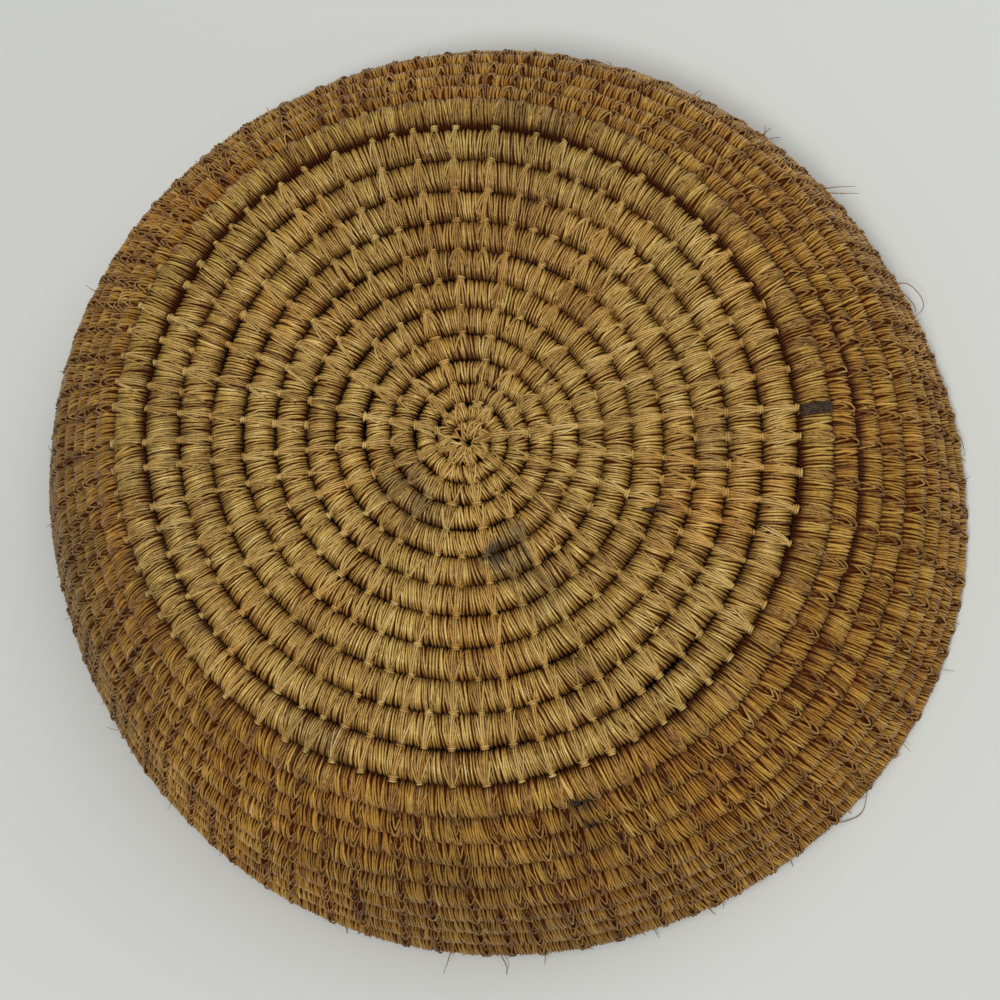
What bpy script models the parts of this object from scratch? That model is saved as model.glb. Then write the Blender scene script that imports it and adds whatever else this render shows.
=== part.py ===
# Coiled grass basket, standing mouth down on its rim, as it is photographed.
#
# One long foundation of grass is wound from a knot at the centre of the base, over a rounded
# edge and down a flared wall to the rim. It is built here as the stages a maker works in: start
# knot, base coil, edge coil, wall coil and rim coil, with the lines of long stitches that lace
# each turn to the turn inside it. Metres, +Z up. The origin is the centre of the circle on which
# the rim stands. Seen from above the coil runs clockwise.

import math

import bmesh
import bpy
import numpy as np

# The spiral, counted in turns of the coil's centre line
START_PITCH = 0.0030
FULL_PITCH = 0.0119
SETTLING_TURNS = 5.1
WALL_PITCH = 0.0118
KNOT_TURNS = 0.7
FIRST_TURN = 0.25
POINTS_PER_TURN = 24
JOIN_SIDES = 3
BASE_TURN = 3
EDGE_TURN = 12
WALL_TURN = 13
RIM_TURN = 20
LAST_TURN = 21
RIGHTHAND_TURN = 0.51
coil_width_share = 0.82
own_turn_share = 0.8

# The profile that the coil follows from the base's centre to the rim
BASE_RADIUS = 0.1100
CORNER_RADIUS = 0.0080
SHOULDER_SLOPE = math.radians(50)
SHOULDER_LENGTH = 0.0430
BEND_RADIUS = 0.0400
WALL_SLOPE = math.radians(67)

# How far the hand-made basket is from true
OVAL_REACH = 0.0034
OVAL_DIRECTION = math.radians(-39)
START_OFFSET = 0.0017
DRIFT_TURNS = 11.0

# The rim, which is levelled by letting each wall turn step down over its first stretch
level_step_share = 0.25
tail_share = 0.7
rim_flat_share = 0.1

# The start knot
KNOT_HOLE_RADIUS = 0.0008
KNOT_RADIUS = 0.0033
KNOT_HEIGHT = 0.0052
KNOT_ROUNDING = 0.0006
KNOT_STEPS = 24

# The stitches
STITCH_LINES = 44
STITCH_RADIUS = 0.0007
STITCH_KNOT_RADIUS = 0.0012
STITCH_START_TURNS = (2.2, 8.7, 4.7, 8.7)

# What touching pieces keep between them, and what cuts run past
CLEARANCE = 0.0003
OVERRUN = 0.0100

# Edges sharper than this stay sharp
SMOOTH_ANGLE = math.radians(35)

# Colour, roughness and metallic value of each piece
FINISHES = {
    "start_knot": ((0.30, 0.20, 0.085), 0.62, 0.0),
    "base_coil": ((0.34, 0.21, 0.075), 0.55, 0.0),
    "edge_coil": ((0.31, 0.19, 0.065), 0.56, 0.0),
    "wall_coil": ((0.27, 0.135, 0.045), 0.62, 0.0),
    "rim_coil": ((0.20, 0.10, 0.036), 0.66, 0.0),
    "stitch_line": ((0.40, 0.27, 0.12), 0.58, 0.0),
}

# A six-sided and a four-sided section's flats and corners, for a corner radius of one
HEX_FLAT = math.cos(math.radians(30))
HEX_CORNER = math.sin(math.radians(30))
SQUARE_FLAT = math.cos(math.radians(45))


def smooth_step(x):
    """0 below 0, 1 above 1, and 3x² - 2x³ between."""
    x = np.clip(x, 0.0, 1.0)
    return x * x * (3.0 - 2.0 * x)


def spiral_reach(turn):
    """Distance from the centre along the profile, before the rim is levelled. The pitch grows
    from START_PITCH towards FULL_PITCH, and past the edge turn it is WALL_PITCH."""
    on_base = np.minimum(turn, WALL_TURN) + KNOT_TURNS
    fading = 1.0 - np.exp(-on_base / SETTLING_TURNS)
    reach = FULL_PITCH * on_base - (FULL_PITCH - START_PITCH) * SETTLING_TURNS * fading
    return reach + WALL_PITCH * np.maximum(turn - WALL_TURN, 0.0)


def levelled_turn(turn):
    """The turn whose reach the coil has here. On the wall the steady spiral passes little by
    little into level turns joined by a step, so the last turn lies level."""
    since = np.mod(turn, 1.0)
    mean_lead = 0.5 * (1.0 - level_step_share)
    lead = smooth_step(since / level_step_share) - since - mean_lead
    blend = smooth_step((turn - WALL_TURN) / (RIM_TURN - WALL_TURN))
    return turn + blend * lead


def reach_at(turn):
    return spiral_reach(levelled_turn(turn))


def profile(reach):
    """Radius and height below the base's centre line. The profile is a flat, an arc, a straight
    shoulder, a wider arc and a straight wall, each with its closed formula."""
    corner = CORNER_RADIUS * SHOULDER_SLOPE
    bend = BEND_RADIUS * (WALL_SLOPE - SHOULDER_SLOPE)
    on_flat = np.minimum(reach, BASE_RADIUS)
    on_corner = np.clip(reach - BASE_RADIUS, 0.0, corner) / CORNER_RADIUS
    past_corner = reach - BASE_RADIUS - corner
    on_shoulder = np.clip(past_corner, 0.0, SHOULDER_LENGTH)
    past_shoulder = past_corner - SHOULDER_LENGTH
    on_bend = SHOULDER_SLOPE + np.clip(past_shoulder, 0.0, bend) / BEND_RADIUS
    on_wall = np.maximum(past_shoulder - bend, 0.0)
    radius = (
        on_flat
        + CORNER_RADIUS * np.sin(on_corner)
        + on_shoulder * math.cos(SHOULDER_SLOPE)
        + BEND_RADIUS * (np.sin(on_bend) - math.sin(SHOULDER_SLOPE))
        + on_wall * math.cos(WALL_SLOPE)
    )
    drop = (
        CORNER_RADIUS * (1.0 - np.cos(on_corner))
        + on_shoulder * math.sin(SHOULDER_SLOPE)
        + BEND_RADIUS * (math.cos(SHOULDER_SLOPE) - np.cos(on_bend))
        + on_wall * math.sin(WALL_SLOPE)
    )
    return radius, drop


RIM_REACH = float(reach_at(np.array(RIM_TURN + 0.5)))
RIM_RADIUS, RIM_DROP = (float(value) for value in profile(np.array(RIM_REACH)))
oval_share = OVAL_REACH / RIM_RADIUS


def section(turn):
    """Lean and corner radius of the six-sided coil. It leans with the line from the turn inside
    to the turn outside, so its flats face them, and it fills a share of the nearer one's room."""
    radius, drop = profile(reach_at(np.stack([turn - 1.0, turn, turn + 1.0])))
    lean = np.arctan2(drop[2] - drop[0], radius[2] - radius[0])
    room = np.hypot(np.diff(radius, axis=0), np.diff(drop, axis=0)).min(axis=0)
    return lean, 0.5 * coil_width_share * (1.0 - oval_share) * room / HEX_FLAT


RIM_LEAN, RIM_COIL_RADIUS = (float(value) for value in section(np.array(RIM_TURN + 0.5)))
RIM_CORNER_LIFT = math.cos(RIM_LEAN - math.radians(60))
RIM_CENTRE_HEIGHT = RIM_COIL_RADIUS * (RIM_CORNER_LIFT - 2.0 * rim_flat_share)
BASE_HEIGHT = RIM_CENTRE_HEIGHT + RIM_DROP


def place(turn, reach):
    """World points on the coil's centre line: the profile turned to the turn's azimuth, with
    the start set a little off centre and the whole drawn out to an oval."""
    radius, drop = profile(reach)
    azimuth = -2.0 * math.pi * (turn - RIGHTHAND_TURN)
    fading = smooth_step((LAST_TURN - turn) / (LAST_TURN - WALL_TURN))
    offset = START_OFFSET * fading * np.cos(math.pi * (turn - FIRST_TURN) / DRIFT_TURNS)
    x = radius * np.cos(azimuth) + offset
    y = radius * np.sin(azimuth)
    along = x * math.cos(OVAL_DIRECTION) + y * math.sin(OVAL_DIRECTION)
    across = y * math.cos(OVAL_DIRECTION) - x * math.sin(OVAL_DIRECTION)
    along = along * (1.0 + oval_share)
    across = across * (1.0 - oval_share)
    x = along * math.cos(OVAL_DIRECTION) - across * math.sin(OVAL_DIRECTION)
    y = along * math.sin(OVAL_DIRECTION) + across * math.cos(OVAL_DIRECTION)
    return np.stack([x, y, BASE_HEIGHT - drop], axis=-1)


def join_turn(turn):
    """The middle of a straight side of the coil, where one stage of it meets the next."""
    return turn + 0.5 / POINTS_PER_TURN


def centre_line():
    """Turn, point, lean and corner radius at each corner of the whole coil, centre to rim.
    Round the first join, where the turns are small, one longer side replaces JOIN_SIDES short
    ones. It lies as far out at its ends as in at its middle, so that the ends of both stages
    are straight for a coil's diameter."""
    count = round((LAST_TURN - FIRST_TURN) * POINTS_PER_TURN)
    turns = FIRST_TURN + np.arange(count + 1) / POINTS_PER_TURN
    half_step = 0.5 / POINTS_PER_TURN
    half_side = JOIN_SIDES * half_step
    turns = turns[np.abs(turns - join_turn(BASE_TURN)) > half_side - half_step]
    reach = reach_at(turns)
    bow = math.cos(2.0 * math.pi * half_side)
    ends = np.abs(turns - join_turn(BASE_TURN)) < half_side + half_step
    reach = np.where(ends, reach * (1.0 + bow) / (2.0 * bow), reach)
    lean, radius = section(turns)
    return turns, place(turns, reach), lean, radius


def tail():
    """The coil's end past the last turn. It thins as the turn over it steps down, and its
    lowest corner stays level with the rim's."""
    count = math.floor(tail_share * level_step_share * POINTS_PER_TURN)
    turns = LAST_TURN + np.arange(1, count + 1) / POINTS_PER_TURN
    step = smooth_step((turns - LAST_TURN) / level_step_share)
    left = WALL_PITCH * (1.0 - step) * coil_width_share
    radius = np.minimum(RIM_COIL_RADIUS, 0.5 * left / HEX_FLAT)
    reach = RIM_REACH + (RIM_COIL_RADIUS - radius) * RIM_CORNER_LIFT / math.sin(WALL_SLOPE)
    return place(turns, reach), np.full(count, RIM_LEAN), radius


TURNS, POINTS, LEANS, RADII = centre_line()


def at(turn):
    """Point, lean and corner radius of the six-sided coil at any turn, along its straight
    sides."""
    point = np.array([np.interp(turn, TURNS, POINTS[:, axis]) for axis in range(3)])
    return point, np.interp(turn, TURNS, LEANS), np.interp(turn, TURNS, RADII)


def unit(vector):
    return vector / np.linalg.norm(vector)


def stage(start, end):
    """Points, leans and corner radii of the coil from one join to another. Both ends stop half
    a clearance short of the join, square to the side that the join lies on."""
    inside = (TURNS > start) & (TURNS < end)
    points = [POINTS[inside]]
    leans = [LEANS[inside]]
    radii = [RADII[inside]]
    if start > 0.0:
        first, lean, radius = at(start)
        first = first + unit(points[0][0] - first) * 0.5 * CLEARANCE
        points.insert(0, first[None])
        leans.insert(0, [lean])
        radii.insert(0, [radius])
    if end < math.inf:
        last, lean, radius = at(end)
        last = last + unit(points[-1][-1] - last) * 0.5 * CLEARANCE
        points.append(last[None])
        leans.append([lean])
        radii.append([radius])
    return np.concatenate(points), np.concatenate(leans), np.concatenate(radii)


def rim_stage():
    """The last turn and its tail."""
    turn_parts = stage(join_turn(RIM_TURN), math.inf)
    return tuple(np.concatenate(both) for both in zip(turn_parts, tail()))


def least_gap(points, radii):
    """Least distance between a coil and its own neighbouring turns, flat to flat. What lies
    nearer along the coil than own_turn_share of half a turn is the same turn."""
    steps = np.linalg.norm(np.diff(points, axis=0), axis=1)
    along = np.concatenate([[0.0], np.cumsum(steps)])
    starts = points[:-1]
    sides = points[1:] - starts
    best = math.inf
    for point, radius, here in zip(points, radii, along):
        own = own_turn_share * math.pi * math.hypot(point[0], point[1])
        apart = np.minimum(np.abs(along[:-1] - here), np.abs(along[1:] - here)) > own
        if not apart.any():
            continue
        side = sides[apart]
        share = np.einsum("ij,ij->i", point - starts[apart], side)
        share = np.clip(share / np.einsum("ij,ij->i", side, side), 0.0, 1.0)
        near = starts[apart] + share[:, None] * side
        other = radii[:-1][apart] * (1.0 - share) + radii[1:][apart] * share
        both = (radius + other) * HEX_FLAT
        best = min(best, float((np.linalg.norm(near - point, axis=1) - both).min()))
    return best


def print_least_gap(name, points, radii):
    print(f"{name}: least gap to itself {least_gap(points, radii) * 1000:.2f} mm")


def clear_scene():
    for obj in list(bpy.data.objects):
        bpy.data.objects.remove(obj)


def new_collection(name, hidden):
    collection = bpy.data.collections.new(name)
    collection.hide_render = hidden
    bpy.context.scene.collection.children.link(collection)
    return collection


def material(name):
    colour, roughness, metallic = FINISHES[name]
    made = bpy.data.materials.new(name)
    made.use_nodes = True
    shader = made.node_tree.nodes["Principled BSDF"]
    shader.inputs["Base Color"].default_value = (*colour, 1.0)
    shader.inputs["Roughness"].default_value = roughness
    shader.inputs["Metallic"].default_value = metallic
    made.diffuse_color = (*colour, 1.0)
    return made


def tube(name, points, radii, tilts, thickest, bevel_resolution, collection):
    """A tube along straight sides, whose radius follows its points."""
    curve = bpy.data.curves.new(name, "CURVE")
    curve.dimensions = "3D"
    curve.twist_mode = "Z_UP"
    curve.bevel_depth = thickest
    curve.bevel_resolution = bevel_resolution
    curve.use_fill_caps = True
    spline = curve.splines.new("POLY")
    spline.points.add(len(points) - 1)
    for knot, point, radius, tilt in zip(spline.points, points, radii, tilts):
        knot.co = (*point, 1.0)
        knot.radius = radius / thickest
        knot.tilt = tilt
    spline.use_smooth = bevel_resolution > 0
    obj = bpy.data.objects.new(name, curve)
    collection.objects.link(obj)
    return obj


def coil_tube(name, points, leans, radii, collection):
    """A six-sided coil whose flats face its neighbours along the profile."""
    return tube(
        name, points, radii, math.pi / 6.0 - leans, float(radii.max()), 1, collection
    )


def as_mesh(obj):
    """The object as a closed mesh, so that it can be cut or joined. It replaces the curve."""
    bpy.context.view_layer.update()
    graph = bpy.context.evaluated_depsgraph_get()
    mesh = bpy.data.meshes.new_from_object(obj.evaluated_get(graph))
    work = bmesh.new()
    work.from_mesh(mesh)
    bmesh.ops.remove_doubles(work, verts=work.verts, dist=CLEARANCE / 100.0)
    bmesh.ops.recalc_face_normals(work, faces=work.faces)
    work.to_mesh(mesh)
    work.free()
    name = obj.name
    collection = obj.users_collection[0]
    matrix = obj.matrix_world.copy()
    bpy.data.objects.remove(obj)
    solid = bpy.data.objects.new(name, mesh)
    solid.matrix_world = matrix
    collection.objects.link(solid)
    return solid


def boolean(obj, operand, operation):
    step = obj.modifiers.new(operation.lower(), "BOOLEAN")
    step.operation = operation
    step.object = operand
    operand.hide_render = True
    operand.display_type = "WIRE"


def knot_ring(name, collection):
    """The tight ring that the coil starts from: a profile with rounded edges, turned about the
    start's own axis."""
    half = 0.5 * KNOT_HEIGHT
    outline = [
        (KNOT_RADIUS - KNOT_ROUNDING, half),
        (KNOT_RADIUS, half - KNOT_ROUNDING),
        (KNOT_RADIUS, KNOT_ROUNDING - half),
        (KNOT_RADIUS - KNOT_ROUNDING, -half),
        (KNOT_HOLE_RADIUS, -half),
        (KNOT_HOLE_RADIUS, half),
    ]
    mesh = bpy.data.meshes.new(name)
    sides = [(i, (i + 1) % len(outline)) for i in range(len(outline))]
    mesh.from_pydata([(radius, 0.0, height) for radius, height in outline], sides, [])
    obj = bpy.data.objects.new(name, mesh)
    obj.location = place(np.array(FIRST_TURN), np.array(0.0))
    collection.objects.link(obj)
    screw = obj.modifiers.new("turn", "SCREW")
    screw.steps = KNOT_STEPS
    screw.render_steps = KNOT_STEPS
    screw.use_merge_vertices = True
    screw.merge_threshold = CLEARANCE / 100.0
    return obj


def start_knot(collection, cutters):
    """The ring and the first turns, which are drawn tight into one piece."""
    ring = knot_ring("start_knot", collection)
    points, leans, radii = stage(0.0, join_turn(BASE_TURN))
    print_least_gap("start_knot", points, radii)
    turns = as_mesh(coil_tube("first_turns", points, leans, radii, cutters))
    boolean(ring, turns, "UNION")
    return ring


def rim_coil(collection, cutters):
    """The last turn, with the flat that it stands on."""
    points, leans, radii = rim_stage()
    rim = as_mesh(coil_tube("rim_coil", points, leans, radii, collection))
    reach = RIM_RADIUS + OVAL_REACH + RIM_COIL_RADIUS + OVERRUN
    work = bmesh.new()
    bmesh.ops.create_cube(work, size=1.0)
    bmesh.ops.scale(work, vec=(2.0 * reach, 2.0 * reach, OVERRUN), verts=work.verts)
    mesh = bpy.data.meshes.new("ground_cut")
    work.to_mesh(mesh)
    work.free()
    cutter = bpy.data.objects.new("ground_cut", mesh)
    cutter.location.z = -0.5 * OVERRUN
    cutters.objects.link(cutter)
    boolean(rim, cutter, "DIFFERENCE")
    print_least_gap("rim_coil", points, radii)
    return rim


def plain_stage(name, start, end, collection):
    points, leans, radii = stage(join_turn(start), join_turn(end))
    print_least_gap(name, points, radii)
    return coil_tube(name, points, leans, radii, collection)


def outward(point, lean):
    """The direction square to the profile, away from the basket's inside."""
    level = unit(np.array([point[0], point[1], 0.0]))
    return level * math.sin(lean) + np.array([0.0, 0.0, math.cos(lean)])


def shoulder_corner(point, lean, radius, side):
    """The corner of the six-sided coil next to its crown, on the rim's side (1) or the
    centre's side (-1)."""
    level = unit(np.array([point[0], point[1], 0.0]))
    along = level * math.cos(lean) - np.array([0.0, 0.0, math.sin(lean)])
    return point + radius * (side * HEX_FLAT * along + HEX_CORNER * outward(point, lean))


def crown_seat(point, lean, radius):
    """Where a stitch crosses a turn's crown, its flat side a clearance off the coil's."""
    return point + outward(point, lean) * (
        radius + (CLEARANCE + STITCH_RADIUS * SQUARE_FLAT) / HEX_FLAT
    )


def knot_seat(inner, outer):
    """Where a stitch's knot rests in the groove: just clear of the corners on both sides, or
    higher, where the strands that rise from it to the two crowns would touch them."""
    near = shoulder_corner(*inner, 1)
    far = shoulder_corner(*outer, -1)
    middle = 0.5 * (near + far)
    half_gap = 0.5 * np.linalg.norm(far - near)
    along = unit(far - near)
    up = outward(middle, 0.5 * (inner[1] + outer[1]))
    up = unit(up - (up @ along) * along)
    reach = STITCH_KNOT_RADIUS + CLEARANCE
    rise = math.sqrt(max(reach * reach - half_gap * half_gap, 0.0))
    for turn, side in ((inner, -1.0), (outer, 1.0)):
        crown = crown_seat(*turn) - middle
        run = side * (crown @ along) - half_gap
        high = crown @ up
        lift = (STITCH_KNOT_RADIUS * SQUARE_FLAT + CLEARANCE) * math.hypot(run, high) / run
        rise = max(rise, lift - (high - lift) * half_gap / run)
    return middle + up * rise


def stitch_line(number, collection):
    """One line of stitches, centre to rim. It knots in each groove between two turns and
    crosses each turn over its crown. It ends in the groove over the rim coil, where the last
    knot turns on towards the next crown for its own thickness."""
    share = number / STITCH_LINES
    start = STITCH_START_TURNS[number % len(STITCH_START_TURNS)]
    turn = start + (share + RIGHTHAND_TURN - start) % 1.0
    points = [knot_seat(at(turn), at(turn + 1.0))]
    radii = [STITCH_KNOT_RADIUS]
    while turn + 1.0 < RIM_TURN:
        turn += 1.0
        points.append(crown_seat(*at(turn)))
        points.append(knot_seat(at(turn), at(turn + 1.0)))
        radii += [STITCH_RADIUS, STITCH_KNOT_RADIUS]
    onward = unit(crown_seat(*at(turn + 1.0)) - points[-1])
    points.append(points[-1] + onward * 2.0 * STITCH_KNOT_RADIUS)
    radii.append(STITCH_KNOT_RADIUS)
    name = f"stitch_line_{number + 1:02d}"
    tilts = [math.pi / 4.0] * len(points)
    return tube(name, points, radii, tilts, STITCH_KNOT_RADIUS, 0, collection)


def shade(obj):
    if obj.type == "MESH":
        obj.data.shade_smooth()
        obj.data.set_sharp_from_angle(angle=SMOOTH_ANGLE)


def main():
    clear_scene()
    basket = new_collection("coiled_basket", hidden=False)
    cutters = new_collection("cutters", hidden=True)
    pieces = {
        "start_knot": [start_knot(basket, cutters)],
        "base_coil": [plain_stage("base_coil", BASE_TURN, EDGE_TURN, basket)],
        "edge_coil": [plain_stage("edge_coil", EDGE_TURN, WALL_TURN, basket)],
        "wall_coil": [plain_stage("wall_coil", WALL_TURN, RIM_TURN, basket)],
        "rim_coil": [rim_coil(basket, cutters)],
        "stitch_line": [stitch_line(number, basket) for number in range(STITCH_LINES)],
    }
    for name, objects in pieces.items():
        finish = material(name)
        for obj in objects:
            obj.data.materials.append(finish)
            shade(obj)
    print(f"rim radius {RIM_RADIUS * 1000:.1f} mm, base height {BASE_HEIGHT * 1000:.1f} mm")


main()
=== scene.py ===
# %% [markdown]
# # A coiled grass basket, dressed strand by strand
#
# The basket lies mouth down. One long bundle of grass is wound from a knot at the centre of the
# base over a rounded edge to the rim, and every bit of it is wrapped with split grass about a
# millimetre wide. Long strands lace each turn to the turn inside it: on the base they end in
# small pale knots, and on the wall they make columns of nested chevrons.
#
# The CAD model holds the coil's true path as plain six-sided solids. Here every one of them is
# replaced by wrapped coils with real strands, worked out with numpy from the same path.

import math

import bpy
import numpy as np
from mathutils import Matrix, Vector


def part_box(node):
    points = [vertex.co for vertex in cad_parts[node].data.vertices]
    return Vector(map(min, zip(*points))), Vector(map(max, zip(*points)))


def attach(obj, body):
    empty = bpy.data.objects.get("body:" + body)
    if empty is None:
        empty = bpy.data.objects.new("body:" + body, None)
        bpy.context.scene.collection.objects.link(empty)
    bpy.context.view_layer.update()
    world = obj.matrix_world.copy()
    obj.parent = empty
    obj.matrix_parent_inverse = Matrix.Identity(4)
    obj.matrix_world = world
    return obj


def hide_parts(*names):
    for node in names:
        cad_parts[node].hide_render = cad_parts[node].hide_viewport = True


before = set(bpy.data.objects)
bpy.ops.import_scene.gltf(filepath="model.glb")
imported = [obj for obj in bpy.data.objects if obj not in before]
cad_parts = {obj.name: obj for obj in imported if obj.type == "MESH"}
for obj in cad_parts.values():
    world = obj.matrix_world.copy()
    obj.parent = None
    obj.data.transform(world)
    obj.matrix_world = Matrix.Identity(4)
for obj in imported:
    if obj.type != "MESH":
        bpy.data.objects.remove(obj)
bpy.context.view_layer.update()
chance = np.random.default_rng(7)

# %% [markdown]
# ## The path of the coil
#
# On the real basket the path is the maker's whole plan: a tight start, turns that widen to a
# steady step, a corner, a shoulder and a wall. It could be read from the CAD mesh, but its own
# formula is exact at every strand, so the formula and its named values are repeated from the
# CAD. Turns are counted from the centre, clockwise.

# %% Named values of the path
START_PITCH = 0.0030
FULL_PITCH = 0.0119
SETTLING_TURNS = 5.1
WALL_PITCH = 0.0118
KNOT_TURNS = 0.7
FIRST_TURN = 0.25
BASE_TURN = 3
EDGE_TURN = 12
WALL_TURN = 13
RIM_TURN = 20
LAST_TURN = 21
RIGHTHAND_TURN = 0.51
BASE_RADIUS = 0.1100
CORNER_RADIUS = 0.0080
SHOULDER_SLOPE = math.radians(50)
SHOULDER_LENGTH = 0.0430
BEND_RADIUS = 0.0400
WALL_SLOPE = math.radians(67)
OVAL_REACH = 0.0034
OVAL_DIRECTION = math.radians(-39)
START_OFFSET = 0.0017
DRIFT_TURNS = 11.0
RIM_PULL = 0.0004
CORNER_PULL = 0.0014
CORNER_PHASE = math.radians(100)
level_step_share = 0.25
MM = 0.001


def smooth_step(x):
    """0 below 0, 1 above 1, and 3x² - 2x³ between."""
    x = np.clip(x, 0.0, 1.0)
    return x * x * (3.0 - 2.0 * x)


def spiral_reach(turn):
    """Distance from the centre along the profile, before the rim is levelled."""
    on_base = np.minimum(turn, WALL_TURN) + KNOT_TURNS
    fading = 1.0 - np.exp(-on_base / SETTLING_TURNS)
    reach = FULL_PITCH * on_base - (FULL_PITCH - START_PITCH) * SETTLING_TURNS * fading
    return reach + WALL_PITCH * np.maximum(turn - WALL_TURN, 0.0)


def reach_at(turn):
    """The reach once the wall's turns have been levelled: each steps down over its first
    quarter, little at the wall's top and wholly at the rim."""
    since = np.mod(turn, 1.0)
    lead = smooth_step(since / level_step_share) - since - 0.5 * (1.0 - level_step_share)
    blend = smooth_step((turn - WALL_TURN) / (RIM_TURN - WALL_TURN))
    return spiral_reach(turn + blend * lead)


def profile(reach):
    """Radius and drop along a flat, an arc, a straight shoulder, a wider arc and a wall."""
    corner = CORNER_RADIUS * SHOULDER_SLOPE
    bend = BEND_RADIUS * (WALL_SLOPE - SHOULDER_SLOPE)
    on_flat = np.minimum(reach, BASE_RADIUS)
    on_corner = np.clip(reach - BASE_RADIUS, 0.0, corner) / CORNER_RADIUS
    past_corner = reach - BASE_RADIUS - corner
    on_shoulder = np.clip(past_corner, 0.0, SHOULDER_LENGTH)
    past_shoulder = past_corner - SHOULDER_LENGTH
    on_bend = SHOULDER_SLOPE + np.clip(past_shoulder, 0.0, bend) / BEND_RADIUS
    on_wall = np.maximum(past_shoulder - bend, 0.0)
    radius = (
        on_flat
        + CORNER_RADIUS * np.sin(on_corner)
        + on_shoulder * math.cos(SHOULDER_SLOPE)
        + BEND_RADIUS * (np.sin(on_bend) - math.sin(SHOULDER_SLOPE))
        + on_wall * math.cos(WALL_SLOPE)
    )
    drop = (
        CORNER_RADIUS * (1.0 - np.cos(on_corner))
        + on_shoulder * math.sin(SHOULDER_SLOPE)
        + BEND_RADIUS * (math.cos(SHOULDER_SLOPE) - np.cos(on_bend))
        + on_wall * math.sin(WALL_SLOPE)
    )
    return radius, drop


RIM_RADIUS, RIM_DROP = (float(v) for v in profile(reach_at(np.array(RIM_TURN + 0.5))))
oval_share = OVAL_REACH / RIM_RADIUS
rim_low, rim_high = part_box("rim_coil")
BASE_HEIGHT = 0.0860
print(f"rim radius {RIM_RADIUS / MM:.1f} mm, rim coil's top at {rim_high[2] / MM:.1f} mm")


# %% [markdown]
# ## A frame that rides along the coil
#
# A strand is easiest to think of on the coil itself: so far along it, so far round it, so far
# off its surface. `coil_frame` gives the coil's centre and the two directions across it, and
# `on_coil` turns (length, angle, lift) into points in the world for whole arrays at once.

# %% Length along the coil, and points on it
def place(turn, reach):
    """World points of the coil's centre line: the profile turned to the turn's azimuth, set a
    little off centre at the start and drawn out to an oval. Towards the rim the maker's pull
    differs, so the circle there is a little square: less by a cosine of four times the
    azimuth."""
    radius, drop = profile(reach)
    azimuth = -2.0 * math.pi * (turn - RIGHTHAND_TURN)
    growing = smooth_step((turn - WALL_TURN) / (RIM_TURN - WALL_TURN))
    radius = radius - growing * (RIM_PULL + CORNER_PULL * np.cos(4.0 * azimuth - CORNER_PHASE))
    fading = smooth_step((LAST_TURN - turn) / (LAST_TURN - WALL_TURN))
    offset = START_OFFSET * fading * np.cos(math.pi * (turn - FIRST_TURN) / DRIFT_TURNS)
    x = radius * np.cos(azimuth) + offset
    y = radius * np.sin(azimuth)
    along = (x * math.cos(OVAL_DIRECTION) + y * math.sin(OVAL_DIRECTION)) * (1 + oval_share)
    across = (y * math.cos(OVAL_DIRECTION) - x * math.sin(OVAL_DIRECTION)) * (1 - oval_share)
    x = along * math.cos(OVAL_DIRECTION) - across * math.sin(OVAL_DIRECTION)
    y = along * math.sin(OVAL_DIRECTION) + across * math.cos(OVAL_DIRECTION)
    return np.stack([x, y, BASE_HEIGHT - drop], axis=-1)


END_TURN = LAST_TURN + 0.7 * level_step_share
TABLE_TURNS = np.linspace(0.0, END_TURN, 40001)
TABLE_POINTS = place(TABLE_TURNS, reach_at(TABLE_TURNS))
TABLE_LENGTHS = np.concatenate(
    [[0.0], np.cumsum(np.linalg.norm(np.diff(TABLE_POINTS, axis=0), axis=1))]
)


def length_at(turn):
    return np.interp(turn, TABLE_TURNS, TABLE_LENGTHS)


def turn_at(length):
    return np.interp(length, TABLE_LENGTHS, TABLE_TURNS)


def slow_wave(length, period, seed):
    """A smooth random wave of about ±1: four sines whose periods and phases are drawn once."""
    draw = np.random.default_rng(seed)
    total = np.zeros_like(length)
    for _ in range(4):
        total += np.sin(
            2.0 * math.pi * length / (period * draw.uniform(0.6, 1.7))
            + draw.uniform(0.0, 2.0 * math.pi)
        )
    return total / 2.2


print(f"the coil is {TABLE_LENGTHS[-1]:.2f} m long")


# %% [markdown]
# ## The coil's own section
#
# The real section is nearly round, pressed a little square by its neighbours, and never quite
# even. The stitches pull the turns into one another, so its half width is a little more than
# half the room to the nearer neighbour, most on the wall. A slow random wave makes it fatter
# and thinner, and a second one lets it wander. The tail past the last turn thins away.

# %% Section and surface of the coil
BASE_FILL = 1.05
WALL_FILL = 1.15
FLATNESS = 0.89
WALL_FLATNESS = 0.81
SQUARENESS = 0.86
LEAST_HEIGHT = 1.8 * MM
SWELL_SHARE = 0.022
WANDER = 0.28 * MM
WAVE_LENGTH = 70.0 * MM
TAIL_SINK = 1.05


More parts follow.
